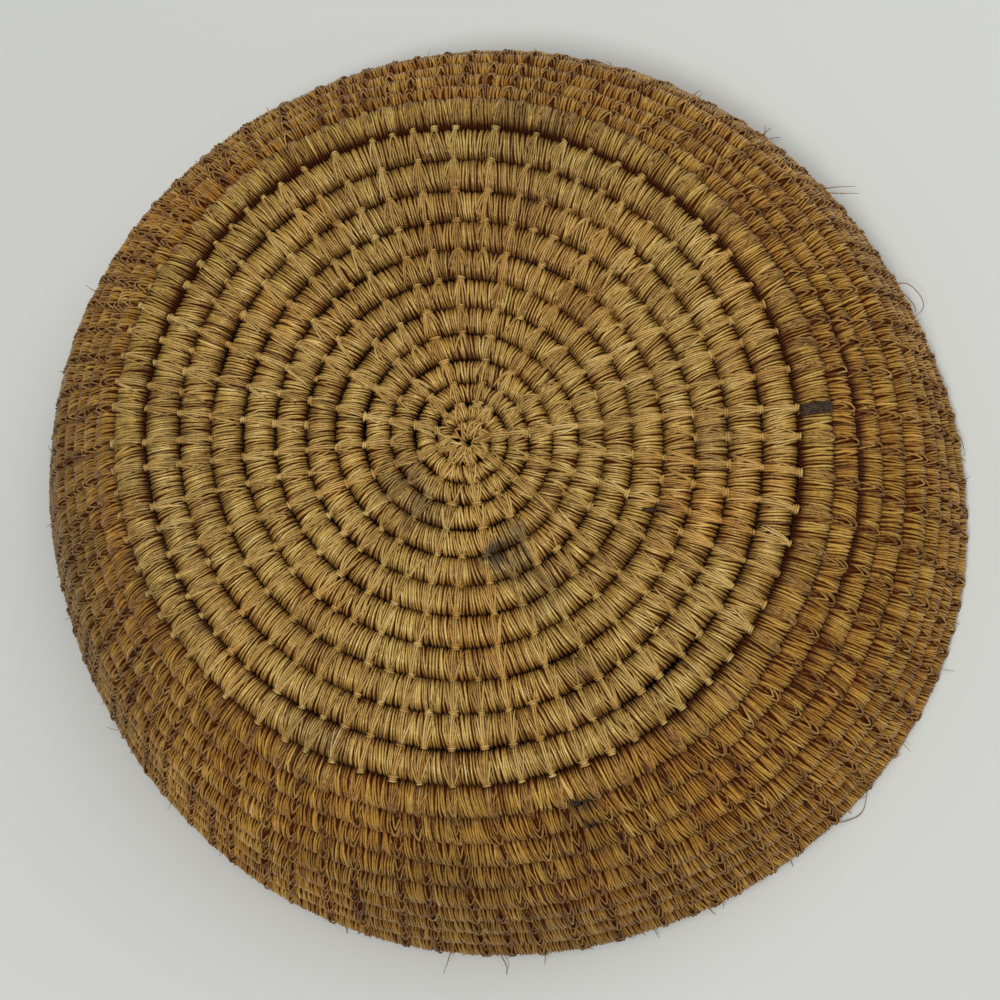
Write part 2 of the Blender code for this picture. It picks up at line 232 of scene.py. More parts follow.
def coil_frame(turn):
    """Centre, direction along the profile, direction out of it, half width and half height."""
    on_turn = np.minimum(turn, LAST_TURN)
    radius, drop = profile(reach_at(np.stack([on_turn - 1.0, on_turn, on_turn + 1.0])))
    lean = np.arctan2(drop[2] - drop[0], radius[2] - radius[0])
    room = np.hypot(np.diff(radius, axis=0), np.diff(drop, axis=0)).min(axis=0)
    on_wall = smooth_step((on_turn - EDGE_TURN) / 1.0)
    pressed = on_wall * (1.0 - smooth_step((on_turn - RIM_TURN + 0.6) / 1.0))
    full = 0.5 * room * (BASE_FILL + (WALL_FILL - BASE_FILL) * pressed)
    left = 1.0 - smooth_step((turn - LAST_TURN) / level_step_share)
    half_width = np.minimum(full, np.where(turn > LAST_TURN, full * left, full))
    flatness = FLATNESS + (WALL_FLATNESS - FLATNESS) * on_wall
    half_height = np.hypot(flatness * half_width, LEAST_HEIGHT * left)
    reach = reach_at(on_turn) + TAIL_SINK * (full - half_width)
    azimuth = -2.0 * math.pi * (turn - RIGHTHAND_TURN)
    level = np.stack([np.cos(azimuth), np.sin(azimuth), np.zeros_like(azimuth)], axis=-1)
    up = np.array([0.0, 0.0, 1.0])
    cos, sin = np.cos(lean)[..., None], np.sin(lean)[..., None]
    along, out = level * cos - up * sin, level * sin + up * cos
    return place(turn, reach), along, out, half_width, half_height


def on_coil(length, angle, lift):
    """World points at a length along the coil, an angle round it (0 towards the rim, a quarter
    turn out of the basket) and a lift off its surface. All three broadcast together."""
    length, angle, lift = np.broadcast_arrays(length, angle, lift)
    centre, along, out, half_width, half_height = coil_frame(turn_at(length))
    swell = 1.0 + SWELL_SHARE * slow_wave(length, WAVE_LENGTH, 11)
    wander = WANDER * slow_wave(length, WAVE_LENGTH, 12)
    cos, sin = np.cos(angle), np.sin(angle)
    side = half_width * swell * np.sign(cos) * np.abs(cos) ** SQUARENESS + lift * cos + wander
    rise = half_height * swell * np.sign(sin) * np.abs(sin) ** SQUARENESS + lift * sin
    points = centre + along * side[..., None] + out * rise[..., None]
    points[..., 2] = np.maximum(points[..., 2], 0.0)
    return points


def over_groove(length, across, share, lift):
    """World points at the groove outside a turn: across from the line where the two turns
    touch, at a share of the coil's half height over its centre, plus a lift."""
    length, across, share, lift = np.broadcast_arrays(length, across, share, lift)
    centre, along, out, half_width, half_height = coil_frame(turn_at(length))
    side = half_width / BASE_FILL + across
    return centre + along * side[..., None] + out * (half_height * share + lift)[..., None]


# %% [markdown]
# ## Bundles of strands as one mesh
#
# A basket has thousands of strands, so none is its own object. Each call gives one array of
# points, strand by strand, ring by ring, and the same few index sums make every face of every
# strand at once. A strand that goes round the coil joins its own start; any other gets two
# end caps. Colours travel as one attribute: tone, shade and how far down the wall it is.

# %% Mesh from strands
def strand_faces(strands, rings, sides, looped):
    """Corner numbers of the quads between neighbouring rings, for all strands."""
    strand = np.arange(strands)[:, None, None] * rings * sides
    ring = np.arange(rings if looped else rings - 1)[None, :, None]
    side = np.arange(sides)[None, None, :]
    near, far = ring * sides, (ring + 1) % rings * sides
    turn_on = (side + 1) % sides
    quads = np.stack(
        [strand + near + side, strand + near + turn_on, strand + far + turn_on,
         strand + far + side], axis=-1,
    )
    return quads.reshape(-1, 4)


def cap_faces(strands, rings, sides):
    """The two ends of each open strand: its first and last rings are faces of their own."""
    first = np.arange(strands)[:, None] * rings * sides + np.arange(sides)[None, ::-1]
    last = np.arange(strands)[:, None] * rings * sides + (rings - 1) * sides
    return np.concatenate([first, last + np.arange(sides)[None, :]])


def strand_piece(name, points, straw, fibre, looped, replaced=()):
    """A mesh object of strands. points is (strands, rings, sides, 3), straw (…, 3) holds tone,
    shade and wall, and fibre (…, 2) is across and along each strand in strand widths."""
    strands, rings, sides = points.shape[:3]
    quads = strand_faces(strands, rings, sides, looped)
    caps = cap_faces(0 if looped else strands, rings, sides)
    turns = np.concatenate([quads.ravel(), caps.ravel()])
    starts = np.concatenate([np.arange(0, quads.size, 4),
                             quads.size + np.arange(0, caps.size, sides)])
    mesh = bpy.data.meshes.new(name)
    mesh.vertices.add(strands * rings * sides)
    mesh.vertices.foreach_set("co", points.astype(np.float32).ravel())
    mesh.loops.add(len(turns))
    mesh.loops.foreach_set("vertex_index", turns.astype(np.int32))
    mesh.polygons.add(len(starts))
    mesh.polygons.foreach_set("loop_start", starts.astype(np.int32))
    mesh.update(calc_edges=True)
    mesh.validate()
    colours = np.concatenate([straw.reshape(-1, 3), np.ones((straw.size // 3, 1))], axis=1)
    attribute = mesh.attributes.new("straw", "FLOAT_COLOR", "POINT")
    attribute.data.foreach_set("color", colours.astype(np.float32).ravel())
    layer = mesh.uv_layers.new(name="fibre")
    corners = np.empty(len(mesh.loops), dtype=np.int32)
    mesh.loops.foreach_get("vertex_index", corners)
    layer.uv.foreach_set("vector", fibre.reshape(-1, 2)[corners].astype(np.float32).ravel())
    mesh.shade_smooth()
    piece = bpy.data.objects.new(name, mesh)
    bpy.context.scene.collection.objects.link(piece)
    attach(piece, "root")
    if replaced:
        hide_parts(*replaced)
    triangles = 2 * len(quads) + (sides - 2) * len(caps)
    print(f"{name}: {strands} strands, {triangles} triangles")
    return piece


# %% [markdown]
# ## Where the stitches go
#
# The maker sews each turn to the one inside it, a finger's width between stitches, and sets
# each stitch by the one before it, so they line up outwards. Where the lines have spread too
# far apart a new one begins. The rule below does the same: every knot passes its place on to
# the next turn with a small slip, and a knot is added wherever the space grows too wide.

# %% Sew the knots
FIRST_KNOT_TURN = 0.35
FIRST_KNOT_SPACE = 6.0 * MM
WIDEST_ON_BASE = 14.2 * MM
WIDEST_ON_WALL = 17.0 * MM
KNOT_SLIP = 0.45 * MM


def groove_circle(turn):
    """The length of the groove outside a turn, once round."""
    return 2.0 * math.pi * float(profile(reach_at(np.array(turn + 0.5)))[0])


def sew_knots():
    """(turn of the knot, turn of the knot that it continues or nan) for every stitch. A knot
    at turn t sits in the groove between turn t and turn t + 1."""
    turn, knots = FIRST_KNOT_TURN, []
    while turn < FIRST_KNOT_TURN + 1.0:
        knots.append((turn, math.nan))
        turn += FIRST_KNOT_SPACE / groove_circle(turn)
    inner = 0
    while knots[inner][0] + 1.0 < RIM_TURN + 0.98:
        before = knots[inner][0]
        circle = groove_circle(before + 1.0)
        turn = before + 1.0 + KNOT_SLIP * chance.normal() / circle
        last = knots[-1][0]
        widest = WIDEST_ON_BASE if turn < WALL_TURN else WIDEST_ON_WALL
        if (turn - last) * circle > widest:
            knots.append((0.5 * (last + turn), math.nan))
        knots.append((max(turn, last + 0.3 * WIDEST_ON_BASE / circle), before))
        inner += 1
    return np.array(knots)


KNOTS = sew_knots()
outer_knots = length_at(KNOTS[:, 0])
inner_knots = length_at(KNOTS[:, 0] + 1.0)
print(f"{len(KNOTS)} stitches, {np.sum(KNOTS[:, 0] > RIM_TURN - 1)} of them in the last groove")


def to_nearest(length, knots):
    """Signed length from the nearest knot."""
    at = np.clip(np.searchsorted(knots, length), 1, len(knots) - 1)
    below, above = length - knots[at - 1], length - knots[at]
    return np.where(np.abs(below) < np.abs(above), below, above)


# %% [markdown]
# ## The wrapping
#
# Each strand of the wrap goes once round the bundle beside the last one. A bump map on a smooth
# tube would lose the ragged look, so every strand is a real closed ring with a ridge. Its outer
# side is drawn towards the knot outside it and its inner side a little towards the knot inside,
# because the stitches pull the wrap together there, and between them it leans back a little. On
# the wall the needle has left a hole above each knot, which the strands avoid; the wrap sinks
# there and along each line of stitches, and both get painted shade. Every strand also gets painted
# shade towards the grooves and its own edges, and painted light on the turn's crown.

# %% Wrap strands
ROUND_ANGLES = np.radians(
    np.concatenate([np.linspace(-12.0, 192.0, 9), np.linspace(228.0, 312.0, 3)])
)
WRAP_SPACE = 0.82 * MM
WRAP_HALF_WIDTH = 0.54 * MM
WRAP_RIDGE = 0.38 * MM
WRAP_SINK = 0.34 * MM
WRAP_LEAN = 0.75 * MM
WRAP_EDGE_SHADE = 0.67
WRAP_TAPER = 0.24
WRAP_RIPPLE = 0.08 * MM
PALEST = 0.78
CROWN_PAINTED_LIGHT = 0.20
PULL_REACH = 2.5 * MM
OUTER_PULL = 0.42
INNER_PULL = 0.26
WALL_PULL_REACH = 2.5 * MM
WALL_PULL = 0.62
HOLE_HALF_WIDTH = 0.95 * MM
HOLE_DEPTH = 1.2 * MM
COLUMN_HALF_WIDTH = 1.3 * MM
COLUMN_DEPTH = 0.65 * MM
GAP_SHADE_TURN = 13.51
GAP_SHADE_TURNS = 0.09


def wall_share(turn):
    """0 on the base, 1 on the wall, passing over on the edge turn."""
    return smooth_step((turn - (EDGE_TURN + 0.1)) / 1.1)


def groove_shade(angle, turn):
    """Painted shade for how deep a place lies between two turns: 0 on the crown, 1 at the
    groove's bottom. The wall's turns are pressed together, so there it is painted mostly on the
    side under the turn above, but for one short stretch at the right where the real turns stand
    apart: there the shade of a gap is painted in full, though the coil's shape stays closed."""
    gap = np.exp(-(((turn - GAP_SHADE_TURN - (np.cos(angle) < 0.0)) / GAP_SHADE_TURNS) ** 2))
    deep = smooth_step((np.abs(np.cos(angle)) - 0.76 + 0.20 * gap) / 0.20)
    towards_rim = smooth_step(0.5 + 2.0 * np.cos(angle))
    deep = deep + 0.16 * smooth_step((np.abs(np.cos(angle)) - 0.40) / 0.45)
    return deep * (1.0 - (1.0 - gap) * wall_share(turn) * (0.54 + 0.24 * towards_rim))


def hole_at(off_knot, angle, turn):
    """1 in the needle hole above a wall knot: a small triangle on its point, clear to see at
    some knots and nearly closed at others. It sinks the wrap there and gives it painted shade."""
    width = HOLE_HALF_WIDTH * (0.5 + 0.7 * smooth_step(angle / 0.8))
    band = smooth_step((np.cos(angle) - 0.50) / 0.25)
    clear = np.clip(0.85 + 0.45 * slow_wave(length_at(turn), 30.0 * MM, 31), 0.25, 1.2)
    return clear * np.exp(-((off_knot / width) ** 2)) * band * wall_share(turn)


def column_at(off_knot, angle, turn):
    """1 along the line of stitches on the wall, where the wrap is pressed in under the Vs and
    gets painted shade.
    """
    band = smooth_step((0.97 - np.abs(np.cos(angle))) / 0.30)
    return np.exp(-((off_knot / COLUMN_HALF_WIDTH) ** 2)) * band * wall_share(turn)


def strand_tones(places, middle, spread):
    """A tone for each strand: a slow wave along the coil, and each strand's own share. A few
    stand out, because a maker uses up odd blades too."""
    tone = middle + 0.05 * slow_wave(places, 45.0 * MM, 22) + spread * chance.normal(
        size=places.shape
    )
    odd = chance.random(places.shape)
    return np.minimum(tone - 0.22 * (odd < 0.035) + 0.16 * (odd > 0.965), PALEST)


def wrap_piece(name, first_turn, last_turn, replaced=()):
    """Closed three-sided rings round the coil. Length = the strand's place + a lean with the
    cosine of the angle + the pull of the nearest knots on either side; lift = the ridge."""
    start, end = float(length_at(first_turn)), float(length_at(last_turn))
    count = int((end - start) / WRAP_SPACE)
    gaps = chance.uniform(0.62, 1.38, count)
    places = start + (end - start) * np.cumsum(gaps) / gaps.sum()
    width = WRAP_HALF_WIDTH * chance.uniform(0.76, 1.24, count)
    raised = 0.10 * MM * chance.normal(size=count)
    loose = 0.26 * MM + 0.16 * MM * wall_share(turn_at(places))
    lean = WRAP_LEAN * (1.0 + 0.8 * slow_wave(places, 26.0 * MM, 21))
    lean = lean + loose * chance.normal(size=count)
    tone = strand_tones(places, 0.515, 0.10)
    angle = ROUND_ANGLES[None, :, None]
    towards_rim = np.maximum(np.cos(angle), 0.0)
    towards_centre = np.maximum(-np.cos(angle), 0.0)
    off_outer = to_nearest(places, outer_knots)[:, None, None]
    off_inner = to_nearest(places, inner_knots)[:, None, None]
    turn = turn_at(places)[:, None, None]
    on_wall = wall_share(turn)
    reach = PULL_REACH + (WALL_PULL_REACH - PULL_REACH) * on_wall
    strength = OUTER_PULL + (WALL_PULL - OUTER_PULL) * on_wall
    strength = strength * chance.uniform(0.7, 1.2, (count, 1, 1))
    pulled = -off_outer * strength * np.exp(-((off_outer / reach) ** 2)) * towards_rim
    pulled = pulled - (
        off_inner * INNER_PULL * np.exp(-((off_inner / PULL_REACH) ** 2)) * towards_centre
    )
    middle = places[:, None, None] - lean[:, None, None] * np.cos(angle) + pulled
    across = np.array([-1.0, 0.0, 1.0])[None, None, :]
    middle = middle + WRAP_RIPPLE * chance.normal(size=(count, len(ROUND_ANGLES), 1))
    taper = 1.0 - WRAP_TAPER * (1.0 - 0.6 * on_wall) * np.abs(np.cos(angle)) ** 3
    length = middle + across * width[:, None, None] * taper
    ridge = np.array([-WRAP_SINK, WRAP_RIDGE, -WRAP_SINK])[None, None, :]
    column = column_at(off_outer * (1.0 - 0.4 * towards_rim), angle, turn)
    hole = hole_at(off_outer * (1.0 - 0.5 * towards_rim), angle, turn)
    ripple = WRAP_RIPPLE * chance.normal(size=(count, len(ROUND_ANGLES), 1))
    lift = raised[:, None, None] + 0.6 * ripple + ridge - HOLE_DEPTH * hole - COLUMN_DEPTH * column
    points = on_coil(length, angle, lift)
    # painted shade: grooves, needle holes and stitch lines, and each strand darker at its edges
    shade = np.clip(groove_shade(angle, turn) + 1.1 * hole + 0.66 * column, 0.0, 1.0)
    shade = shade + WRAP_EDGE_SHADE * (1.0 - 0.38 * on_wall) * np.abs(across)
    # painted light: strands paler on the turn's crown, painted shade on its flanks
    painted_crown_light = CROWN_PAINTED_LIGHT * (np.maximum(np.sin(angle), 0.0) ** 4 - 0.6)
    straw = straw_values(tone[:, None, None] + painted_crown_light, shade, on_wall, length.shape)
    shift = chance.uniform(0.0, 50.0, count)[:, None, None]
    along = np.arange(len(ROUND_ANGLES))[None, :, None] * 3.0
    fibre = np.stack(np.broadcast_arrays(shift + 0.5 * across, along + shift), -1)
    return strand_piece(name, points, straw, fibre, True, replaced)


def straw_values(tone, shade, wall, shape):
    """Tone, shade and wall share side by side, for an array of points of this shape."""
    return np.stack([np.broadcast_to(part, shape) for part in (tone, shade, wall)], axis=-1)


wraps = [
    wrap_piece("start_wrap", 0.12, BASE_TURN, ["start_knot"]),
    wrap_piece("base_wrap_inner", BASE_TURN, 8.0, ["base_coil"]),
    wrap_piece("base_wrap_outer", 8.0, EDGE_TURN, ["base_coil"]),
    wrap_piece("edge_wrap", EDGE_TURN, WALL_TURN, ["edge_coil"]),
    wrap_piece("wall_wrap_top", WALL_TURN, 15.0, ["wall_coil"]),
    wrap_piece("wall_wrap_upper", 15.0, 16.8, ["wall_coil"]),
    wrap_piece("wall_wrap_lower", 16.8, 18.5, ["wall_coil"]),
    wrap_piece("wall_wrap_low", 18.5, RIM_TURN, ["wall_coil"]),
    wrap_piece("rim_wrap", RIM_TURN, END_TURN - 0.005, ["rim_coil"]),
]


# %% [markdown]
# ## The bundle under the wrapping
#
# Between two strands the real eye sees only darkness, with the bundle of grass behind it. One
# tube a little under the surface closes these slits; it is painted in full shade, dark as the
# slits. It could be left out, but then light would leak in from the inside of the coil.

# %% The bundle
BUNDLE_SIDES = 12
BUNDLE_DEPTH = 0.25 * MM


def bundle_piece(name, first_turn, last_turn):
    """One tube of many-sided rings along the coil, closed by a flat face at each end."""
    start, end = float(length_at(first_turn)), float(length_at(last_turn))
    rings = max(int((end - start) / (3.5 * MM)), 8)
    length = np.linspace(start, end, rings)[None, :, None]
    angle = (2.0 * math.pi / BUNDLE_SIDES * np.arange(BUNDLE_SIDES))[None, None, :]
    points = on_coil(length, angle, -BUNDLE_DEPTH)
    # the bundle is painted in full shade, as dark as the slits it closes
    straw = straw_values(0.25, 1.0, 0.5, points.shape[:3])
    fibre = np.stack(np.broadcast_arrays(angle, length / MM), -1)
    return strand_piece(name, points, straw, fibre, False)


bundles = [
    bundle_piece("base_bundle", 0.12, EDGE_TURN + 0.5),
    bundle_piece("wall_bundle", EDGE_TURN + 0.5, END_TURN - 0.005),
]


# %% [markdown]
# ## Long stitch strands on the base
#
# On the real base each stitch is a few strands side by side. Some run straight from the knot of
# the turn inside, over the crown, to this knot. Others come up between the wraps on both sides
# and meet here, so that they draw a V. All of them are one kind of strand, a closed four-sided
# tube along a path on the coil from one angle to another, straight as seen from above. At the
# groove they run in under the knot, which is two or three short turns across them.

# %% Strand paths over the coil
KNOT_ANGLE = math.radians(31.0)
LEG_LOW_ANGLE = math.radians(112.0)
LEG_HIGH_ANGLE = math.radians(166.0)
STRAND_LIFT = 0.58 * MM
BRIDGE_LIFT = 0.22 * MM
LEG_SINK = 0.62 * MM
STRAND_HALF_WIDTH = 0.385 * MM
STRAND_HALF_HEIGHT = 0.32 * MM
STRAND_EDGE_SHADE = 0.42
PAD_SPACE = 0.74 * MM
PAD_HALF_WIDTH = 0.46 * MM
PAD_HALF_HEIGHT = 0.34 * MM
PATH_STEPS = 9
CORNER_ACROSS = np.array([-1.0, 0.0, 1.0, 0.0])
CORNER_UP = np.array([0.0, 1.0, 0.0, -1.0])


def strand_tubes(length, angle, lift, half_width):
    """Four-sided strands along paths on the coil; the arrays are (strands, steps). The corners
    lie across the path along the coil's length, and off its surface."""
    wide = length[..., None] + half_width[..., None] * CORNER_ACROSS
    high = lift[..., None] + STRAND_HALF_HEIGHT * CORNER_UP
    return on_coil(wide, angle[..., None], high)


def fibre_values(count, steps):
    """Across the strand by its corner and along it by its step, each strand moved at random."""
    shift = chance.uniform(0.0, 50.0, count)[:, None, None]
    across = shift + np.array([0.0, 0.5, 1.0, 0.5])
    along = shift + 1.6 * np.arange(steps)[None, :, None]
    return np.stack(np.broadcast_arrays(across, along), axis=-1)


def strand_shade(shade):
    """Shade of the steps, and darker where a strand's edges press into the wrap."""
    return shade[..., None] + STRAND_EDGE_SHADE * np.abs(CORNER_ACROSS)


def past_edge(turn):
    """0 for a knot on the flat base, 1 for one in the groove outside the edge turn."""
    return smooth_step((turn - (EDGE_TURN + 0.05)) / 0.1)


def stitch_paths(knots):
    """Rows of (length at the start, at the knot, start angle, 1 for a V's leg) for every strand
    of these stitches."""
    rows = []
    for at, before in knots:
        here = float(length_at(at))
        if not math.isnan(before):
            there = float(length_at(before + 1.0))
            for side in (-0.42, 0.42) if chance.random() < 0.8 else (-0.80, 0.0, 0.80):
                rows.append((there + side * MM, here + 0.7 * side * MM,
                             math.pi - KNOT_ANGLE, 0.0))
        for side in (-1.0, 1.0):
            if chance.random() < 0.10:
                continue
            reach = chance.uniform(1.5, 3.3) * MM * (1.0 - 0.40 * past_edge(at))
            for strand in range(2 if chance.random() < 0.34 else 1):
                rows.append((here + side * (reach + 0.85 * MM * strand),
                             here + side * (0.25 + 0.45 * strand) * MM,
                             chance.uniform(LEG_LOW_ANGLE, LEG_HIGH_ANGLE), 1.0))
    return np.array(rows).T


def base_stitches(name, knots, replaced):
    """Straight strands from the knot before, and the legs of a V, for each of these knots."""
    begin, finish, from_angle, leg = (row[:, None] for row in stitch_paths(knots))
    u = np.linspace(0.0, 1.0, PATH_STEPS)[None, :]
    angle = from_angle + (KNOT_ANGLE - from_angle) * u
    across = (np.cos(from_angle) - np.cos(angle)) / (np.cos(from_angle) - math.cos(KNOT_ANGLE))
    length = begin + (finish - begin) * across
    hidden = past_edge(turn_at(finish))
    bridge = smooth_step((u - 0.78) / 0.22) * (1.0 - hidden)
    bridge = bridge + (1.0 - leg) * smooth_step((0.22 - u) / 0.22)
    sunk = leg * smooth_step((0.30 - u) / 0.30) + hidden * smooth_step((u - 0.70) / 0.30)
    lift = STRAND_LIFT + BRIDGE_LIFT * bridge - LEG_SINK * sunk - 0.10 * MM * hidden
    lift = lift + 0.04 * MM * chance.normal(size=lift.shape)
    thinner = 0.12 * bridge + 0.45 * leg * smooth_step((0.45 - u) / 0.45)
    half_width = STRAND_HALF_WIDTH * (chance.uniform(0.85, 1.15, begin.shape) - thinner)
    points = strand_tubes(length, angle, lift, half_width)
    turn = turn_at(length)
    # past the edge turn the strands dive into the groove: a darker tone there as painted shade
    tone = strand_tones(begin, 0.605, 0.08) - 0.15 * wall_share(turn) - 0.10 * hidden
    tone = tone[..., None]
    shade = 0.7 * sunk + 0.30 * groove_shade(angle, turn)
    straw = straw_values(tone, strand_shade(shade), wall_share(turn)[..., None],
                         points.shape[:3])
    fibre = fibre_values(len(begin), PATH_STEPS)
    return strand_piece(name, points, straw, fibre, False, replaced)


def knot_wraps(name, knots):
    """Two or three short turns across the strands at each knot: straight along the groove, low
    at both ends and high over the strands, one beside the other."""
    rows = []
    for at in knots[:, 0]:
        turns = 3 if chance.random() < 0.5 else 2
        wide, skew = chance.uniform(1.0, 1.65) * MM, 0.16 * MM * chance.normal()
        for n in range(turns):
            rows.append((float(length_at(at)), skew + 0.08 * MM * chance.normal(),
                         wide * chance.uniform(0.8, 1.15), n - 0.5 * (turns - 1)))
    here, skew, wide, tier = (row[:, None] for row in np.array(rows).T)
    v = np.linspace(-1.0, 1.0, 7)[None, :]
    arch = np.sqrt(np.maximum(1.0 - (0.95 * v) ** 2, 0.0))
    across = (tier * PAD_SPACE + skew * v)[..., None] + PAD_HALF_WIDTH * CORNER_ACROSS
    lift = 0.10 * MM + 0.06 * MM * chance.normal(size=here.shape)
    points = over_groove((here + wide * v)[..., None], across, (0.54 + 0.26 * arch)[..., None],
                         lift[..., None] + PAD_HALF_HEIGHT * CORNER_UP)
    tone = strand_tones(here, 0.64, 0.07)[..., None]
    straw = straw_values(tone, strand_shade(0.6 * np.abs(v) ** 3 + 0.0 * here), 0.0,
                         points.shape[:3])
    return strand_piece(name, points, straw, fibre_values(len(here), 7), False)


stitch_lines = [f"stitch_line_{n:02d}" for n in range(1, 45)]
on_base = KNOTS[:, 0] < EDGE_TURN + 0.1
stitches = [
    base_stitches("base_stitches", KNOTS[KNOTS[:, 0] < WALL_TURN], stitch_lines),
    knot_wraps("base_knots", KNOTS[on_base]),
]


# %% [markdown]
# ## Chevrons on the wall
#
# On the wall the turns are pulled tight, so the knots sink out of sight and the stitches show
# as small Vs that point to the rim, one above the next in uneven columns. Each V is a single
# strand that comes up beside the column, turns at its point below the needle's hole and goes
# back up.

# %% Wall chevrons
CHEVRON_POINTS = (4.0, 30.0, 58.0, 90.0)
CHEVRON_RISE = 58.0
CHEVRON_STEPS = 9
CHEVRON_HALF_WIDTH = 0.33 * MM
CHEVRON_LIFT = 0.50 * MM


def wall_chevrons(name, knots):
    """Nested Vs over each coil, none quite even: from its point each leg goes up and aside at
    the same rate, one leg a little longer than the other."""
    rows = []
    for at in knots[:, 0]:
        column = 0.25 * MM * chance.normal()
        for point in CHEVRON_POINTS:
            rows.append((float(length_at(at)) + column + 0.22 * MM * chance.normal(),
                         chance.uniform(1.2, 2.1) * MM, 0.25 * chance.normal(),
                         math.radians(point + 22.0 * (at > RIM_TURN) + 5.0 * chance.normal()),
                         math.radians(CHEVRON_RISE + 9.0 * chance.normal())))
    here, wide, uneven, low, rise = (row[:, None] for row in np.array(rows).T)
    on_edge = 1.0 - wall_share(turn_at(here))
    wide = wide * (1.0 - 0.30 * on_edge)
    v = np.linspace(-1.0, 1.0, CHEVRON_STEPS)[None, :]
    leg = 1.0 + np.clip(uneven, -0.4, 0.4) * np.sign(v)
    length = here + wide * leg * v
    angle = low + rise * leg * (np.sqrt(v**2 + 0.01) - 0.1)
    end = smooth_step((np.abs(v) - 0.60) / 0.40)
    lift = CHEVRON_LIFT - 0.85 * MM * end + 0.07 * MM * chance.normal(size=length.shape)
    half_width = CHEVRON_HALF_WIDTH * (chance.uniform(0.8, 1.15, here.shape) + 0.0 * v)
    points = strand_tubes(length, angle, lift, half_width)
    # on the edge turn the Vs get a darker tone and painted shade at the point; ends painted shade
    # too
    tone = (strand_tones(here, 0.48, 0.11) - 0.05 * on_edge)[..., None]
    wall = wall_share(turn_at(length))[..., None]
    shade = 0.05 + 0.5 * end + 0.55 * on_edge * smooth_step((0.35 - np.abs(v)) / 0.35)
    straw = straw_values(tone, strand_shade(shade), wall, points.shape[:3])
    fibre = fibre_values(len(here), CHEVRON_STEPS)
    return strand_piece(name, points, straw, fibre, False)


stitches += [
    wall_chevrons("upper_chevrons", KNOTS[(~on_base) & (KNOTS[:, 0] < 16.3)]),
    wall_chevrons("lower_chevrons", KNOTS[(KNOTS[:, 0] >= 16.3)]),
]


# %% [markdown]
# ## The star at the centre
#
# The real basket starts as a tight ring: strands go through its small hole and out over the
# ring, over and over, so they make a rough star with dark pits between their outer ends. Here
# each is a strand over a low dome, no two alike.

# %% Start star
STAR_STRANDS = 46
STAR_CENTRE = (0.0020, -0.0015)
STAR_HOLE = 0.75 * MM
STAR_RADIUS = 6.6 * MM
STAR_TOP = 3.1 * MM
STAR_STEPS = 9


def free_tubes(paths, half_width, half_height):
    """Four-sided tubes along free paths (strands, steps, 3). Across = path x upright, and the
    other way = across x path, both made one long."""
    ahead = np.gradient(paths, axis=1)
    ahead /= np.linalg.norm(ahead, axis=-1, keepdims=True)
    across = np.cross(ahead, [0.0, 0.0, 1.0])
    across /= np.maximum(np.linalg.norm(across, axis=-1, keepdims=True), 1e-6)
    up = np.cross(across, ahead)
    wide = across[..., None, :] * CORNER_ACROSS[:, None] * half_width[..., None, None]
    high = up[..., None, :] * CORNER_UP[:, None] * half_height[..., None, None]
    return paths[..., None, :] + wide + high


def start_star(name):
    """Strands from the hole over the dome: height = a bump that rises from the hole, stays
    high and falls off at the ring's edge."""
    spoke = 2.0 * math.pi * (np.arange(STAR_STRANDS) + 0.5 * chance.normal(size=STAR_STRANDS))
    azimuth = (spoke / STAR_STRANDS)[:, None]
    u = np.linspace(0.0, 1.0, STAR_STEPS)[None, :]
    reach = STAR_RADIUS * chance.uniform(0.55, 1.50, azimuth.shape)
    radius = STAR_HOLE + (reach - STAR_HOLE) * u
    azimuth = azimuth + 0.13 * chance.normal(size=azimuth.shape) * (u - 0.3)
    top = STAR_TOP * (1.0 + 0.10 * chance.normal(size=azimuth.shape[:1]))[:, None]
    height = top * smooth_step(u / 0.30 + 0.25) * (1.0 - 0.75 * smooth_step((u - 0.62) / 0.38))
    aside = STAR_HOLE * chance.normal(size=azimuth.shape[:1] + (1,)) * (1.0 - u)
    x = STAR_CENTRE[0] + radius * np.cos(azimuth) - aside * np.sin(azimuth)
    y = STAR_CENTRE[1] + radius * np.sin(azimuth) + aside * np.cos(azimuth)
    paths = np.stack([x, y, BASE_HEIGHT + height], axis=-1)
    half_width = (0.18 + 0.22 * np.minimum(u * 2.2, 1.0) - 0.14 * smooth_step((u - 0.7) / 0.3))
    half_width = half_width * MM + 0.0 * height
    points = free_tubes(paths, half_width, 0.34 * MM + 0.0 * half_width)
    tone = (0.58 + 0.10 * chance.normal(size=(STAR_STRANDS, 1, 1)))
    shade = (0.7 * smooth_step((0.12 - u) / 0.12) + 0.5 * smooth_step((u - 0.85) / 0.15))
    straw = straw_values(tone, strand_shade(shade), 0.0, points.shape[:3])
    return strand_piece(name, points, straw, fibre_values(STAR_STRANDS, STAR_STEPS), False)


stitches.append(start_star("start_star"))


# %% [markdown]
# ## Loose ends
#
# Cut ends of grass stand off the rim and the wall all round, most of them only a millimetre or
# two long, and a few long fibres have come out. The small ones are strewn at random. The long
# ones lie where the photo shows them.

